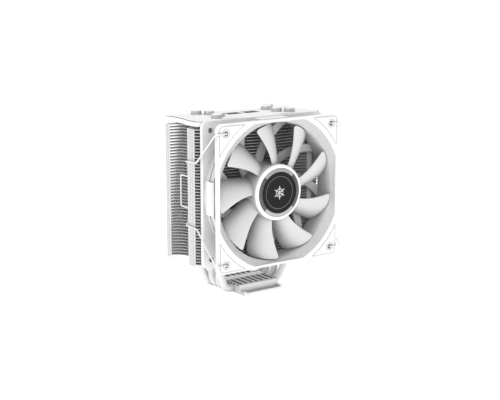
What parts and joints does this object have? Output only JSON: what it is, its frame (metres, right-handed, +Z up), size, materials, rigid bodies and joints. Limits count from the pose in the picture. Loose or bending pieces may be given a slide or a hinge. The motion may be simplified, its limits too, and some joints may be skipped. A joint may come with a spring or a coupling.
{
  "type": "cpu tower cooler",
  "caption": "White processor tower cooler: a stack of thin fins on bent heat pipes over a small ribbed base, a square fan held on its front by wire clips.",
  "frame": {"origin": "middle of the base's contact face, which sits on the processor", "axes": "+Z up along the heat pipes, +X to the right seen from the fan's side, the fan faces -Y"},
  "size_m": [0.1276, 0.0833, 0.1522],
  "materials": {
    "base_metal": "satin",
    "coated_aluminium": "satin",
    "coated_pipe": "satin",
    "cap_metal": "satin",
    "coated_fins": "satin",
    "cover_coat": "satin",
    "fan_plastic": "satin",
    "pad_rubber": "matte",
    "blade_plastic": "satin",
    "bezel_plastic": "satin",
    "badge_plastic": "satin",
    "motor_steel": "satin",
    "magnet": "matte",
    "bearing_bronze": "satin",
    "board": "satin",
    "copper_wire": "satin",
    "clip_wire": "satin"
  },
  "bodies": {
    "heatsink": {"base_block": "base_metal", "base_crossbar": "coated_aluminium", "heat_pipe_1": "coated_pipe", "heat_pipe_2": "coated_pipe", "heat_pipe_3": "coated_pipe", "heat_pipe_4": "coated_pipe", "pipe_cap_1": "cap_metal", "pipe_cap_2": "cap_metal", "pipe_cap_3": "cap_metal", "pipe_cap_4": "cap_metal", "pipe_cap_5": "cap_metal", "pipe_cap_6": "cap_metal", "pipe_cap_7": "cap_metal", "pipe_cap_8": "cap_metal", "fins_01": "coated_fins", "fins_02": "coated_fins", "fins_03": "coated_fins", "fins_04": "coated_fins", "fins_05": "coated_fins", "fins_06": "coated_fins", "fins_07": "coated_fins", "fins_08": "coated_fins", "fins_09": "coated_fins", "fins_10": "coated_fins", "fins_11": "coated_fins", "fins_12": "coated_fins", "fins_13": "coated_fins", "fins_14": "coated_fins", "fins_15": "coated_fins", "top_cover": "cover_coat", "fan_frame": "fan_plastic", "motor_bracket": "fan_plastic", "corner_pad_1": "pad_rubber", "corner_pad_2": "pad_rubber", "corner_pad_3": "pad_rubber", "corner_pad_4": "pad_rubber", "stator_core": "motor_steel", "stator_coils": "copper_wire", "circuit_board": "board", "bearing_sleeve": "bearing_bronze", "bearing_cap": "fan_plastic"},
    "rotor": {"impeller": "blade_plastic", "hub_bezel": "bezel_plastic", "hub_badge": "badge_plastic", "rotor_yoke": "motor_steel", "magnet_ring": "magnet", "rotor_shaft": "motor_steel", "retaining_ring": "motor_steel"},
    "clip_left_body": {"clip_left": "clip_wire"},
    "clip_right_body": {"clip_right": "clip_wire"}
  },
  "joints": [
    {"name": "fan_spin", "type": "hinge", "parent": "heatsink", "child": "rotor", "pos_m": [0, -0.0385, 0.089], "axis": [0, -1, 0], "continuous": true},
    {"name": "clip_left_swing", "type": "hinge", "parent": "heatsink", "child": "clip_left_body", "pos_m": [-0.0525, -0.0515, 0.089], "axis": [0, 0, 1], "range_deg": [0, 12], "stiffness_Nm_per_rad": 0.02},
    {"name": "clip_right_swing", "type": "hinge", "parent": "heatsink", "child": "clip_right_body", "pos_m": [0.0525, -0.0515, 0.089], "axis": [0, 0, -1], "range_deg": [0, 12], "stiffness_Nm_per_rad": 0.02}
  ]
}
